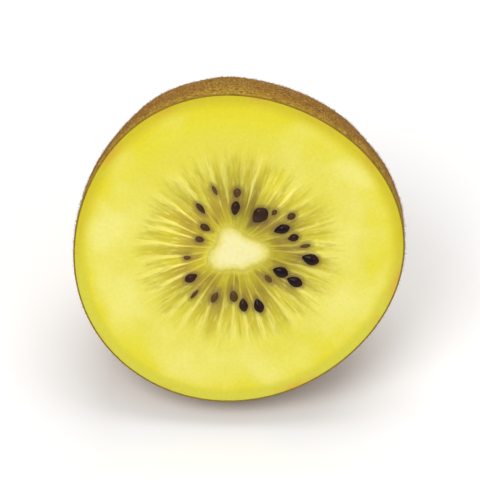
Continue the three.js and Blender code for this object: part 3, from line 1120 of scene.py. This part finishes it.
def scatter_tree(name, shape, sizes, material):
    tree, geometry, size = new_tree(name, sizes)
    position = wired(tree, "GeometryNodeInputPosition")
    _, _, height = position.parts()
    growing = named_attribute(tree, "outside") * height.step(0.8 * MM, 2.0 * MM)
    area = 1 / MM**2
    inputs = {
        "Mesh": geometry,
        "Distance Min": size["Distance"] * MM,
        "Density Max": size["Density"] * area,
        "Density Factor": growing,
        "Seed": size["Seed"],
    }
    spread = add_node(tree, "GeometryNodeDistributePointsOnFaces", inputs, distribute_method="POISSON")
    lean = size["Lean"]
    least, most = vector(tree, lean * -1, lean * -1, -math.pi), vector(tree, lean, lean, math.pi)
    inputs = {0: least, 1: most, "Seed": 5}
    any_turn = wired(tree, "FunctionNodeRandomValue", inputs, data_type="FLOAT_VECTOR")
    spin = wired(tree, "FunctionNodeEulerToRotation", {0: any_turn})
    inputs = {0: Wire(tree, spread.outputs["Rotation"]), 1: spin}
    turned = wired(tree, "FunctionNodeRotateRotation", inputs, rotation_space="LOCAL")
    inputs = {2: size["Smallest"], 3: size["Largest"], "Seed": 9}
    inputs = {
        "Points": Wire(tree, spread.outputs["Points"]),
        "Instance": wired(tree, "GeometryNodeObjectInfo", {"Object": shape}, "Geometry"),
        "Rotation": turned,
        "Scale": wired(tree, "FunctionNodeRandomValue", inputs, 1, data_type="FLOAT"),
    }
    end_tree(tree, wired(tree, "GeometryNodeInstanceOnPoints", inputs), material)
    return tree


def plain_material(name, *tints):
    """A material with a little life in its colour, for pieces too small to show a pattern."""
    made, tree, shader = new_material(name, Roughness=0.7, Specular_IOR_Level=0.2)
    place = wired(tree, "ShaderNodeTexCoord", output="Object")
    share = noise(tree, place, 260, 2).step(0.3, 0.7)
    plug(tree, blended(tree, share, *tints), shader.inputs["Base Color"])
    return made


dome = cone("dome", SPECK_WIDTH, SPECK_HEIGHT, 6, [(1.0, -0.6), (0.6, 0.7)])
hair = cone("hair", HAIR_WIDTH, HAIR_LENGTH, 3, [(1.0, -0.1), (0.7, 0.5)])
speck_finish = plain_material("pale_speck", colour(190, 146, 68), colour(140, 94, 30))
down_finish = plain_material("down", colour(108, 66, 20), colour(150, 104, 36))
specks = grown("specks", peel, scatter_tree("Specks", dome, SPECK_SIZES, speck_finish), SPECK_SIZES)
down = grown("down", peel, scatter_tree("Down", hair, DOWN_SIZES, down_finish), DOWN_SIZES)
for helper in (dome, hair):
    bpy.data.objects.remove(helper)

# %% [markdown]
# ## Handing the pieces to the frame
# Every piece rides on the one body that there is and hides the solid that it stands for, where it
# stands for one. The list also gives each piece a material slot's name, which is only printed.

# %% Pieces on the frame
for made, slot, node in (
    (peel, "peel", "peel"),
    (flesh, "flesh", "flesh"),
    (core, "core", "core"),
    (stem_button, "stem_button", "stem_button"),
    (seeds, "seed", None),
    (specks, "peel", None),
    (down, "peel", None),
):
    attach(made, "root")
    if node:
        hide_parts(node)
    print(made.name, "takes its finish from", slot)

# %% [markdown]
# ## Floor and light
# The fruit lies on plain white, in soft, bright light. The main light is large and comes from
# the upper left, in front. One from the right softens its shadows, and one from behind whitens
# the floor and rims the peel.

# %% Stage
FLOOR_SIZE = 6.0


def studio_floor():
    half = FLOOR_SIZE / 2
    mesh = bpy.data.meshes.new("floor")
    corners = [(-half, -half, 0), (half, -half, 0), (half, half, 0), (-half, half, 0)]
    mesh.from_pydata(corners, [], [(0, 1, 2, 3)])
    made, _, shader = new_material("floor_paint", Roughness=0.9)
    shader.inputs["Base Color"].default_value = (0.9, 0.9, 0.9, 1)
    shader.inputs["Specular IOR Level"].default_value = 0.1
    mesh.materials.append(made)
    return add_object("floor", mesh)


def direction(azimuth, elevation):
    """The way from the fruit to something that is seen at these degrees."""
    a, e = math.radians(azimuth), math.radians(elevation)
    return Vector((math.sin(a) * math.cos(e), -math.cos(a) * math.cos(e), math.sin(e)))


def look(made, target, back, distance):
    """Puts an object at a distance from a target, looking at it."""
    made.location = target + back * distance
    made.rotation_euler = back.to_track_quat("Z", "Y").to_euler()


def lamp(name, azimuth, elevation, distance, size, power, tint=(1.0, 1.0, 1.0)):
    """A square soft light that looks at the fruit."""
    data = bpy.data.lights.new(name, "AREA")
    data.size, data.energy, data.color = size, power, tint
    look(add_object(name, data), cut_centre, direction(azimuth, elevation), distance)


studio_floor()
lamp("key_light", -35, 55, 0.9, 0.5, 3.6, (1.0, 0.985, 0.96))
lamp("fill_light", 60, 40, 1.0, 0.8, 1.2)
lamp("back_light", 165, 60, 1.0, 0.8, 5.0)
world = bpy.data.worlds.new("studio")
world.use_nodes = True
world.node_tree.nodes["Background"].inputs["Color"].default_value = (1, 1, 1, 1)
world.node_tree.nodes["Background"].inputs["Strength"].default_value = 0.5
bpy.context.scene.world = world
bpy.context.scene.view_settings.view_transform = "Standard"

# %% [markdown]
# ## Camera
# The photograph looks down on this half at 48 degrees, from a little to its right, and sees the
# cut 20 degrees off its normal. The camera keeps that direction from about the photograph's
# distance, with a longer lens that frames the one fruit.

# %% Camera
VIEW_AZIMUTH, VIEW_ELEVATION = 2, 48
VIEW_DISTANCE = 0.9
VIEW_WIDTH = 77.4 * MM
AIM_RIGHT, AIM_UP = 0.63 * MM, 1.57 * MM

back = direction(VIEW_AZIMUTH, VIEW_ELEVATION)
right = direction(VIEW_AZIMUTH + 90, 0)
aim = cut_centre + right * AIM_RIGHT + back.cross(right) * AIM_UP
camera_data = bpy.data.cameras.new("camera")
camera_data.sensor_width = 36
camera_data.lens = camera_data.sensor_width * VIEW_DISTANCE / VIEW_WIDTH
camera = add_object("camera", camera_data)
look(camera, aim, back, VIEW_DISTANCE)
bpy.context.scene.camera = camera
print("the lens is", round(camera_data.lens), "mm")
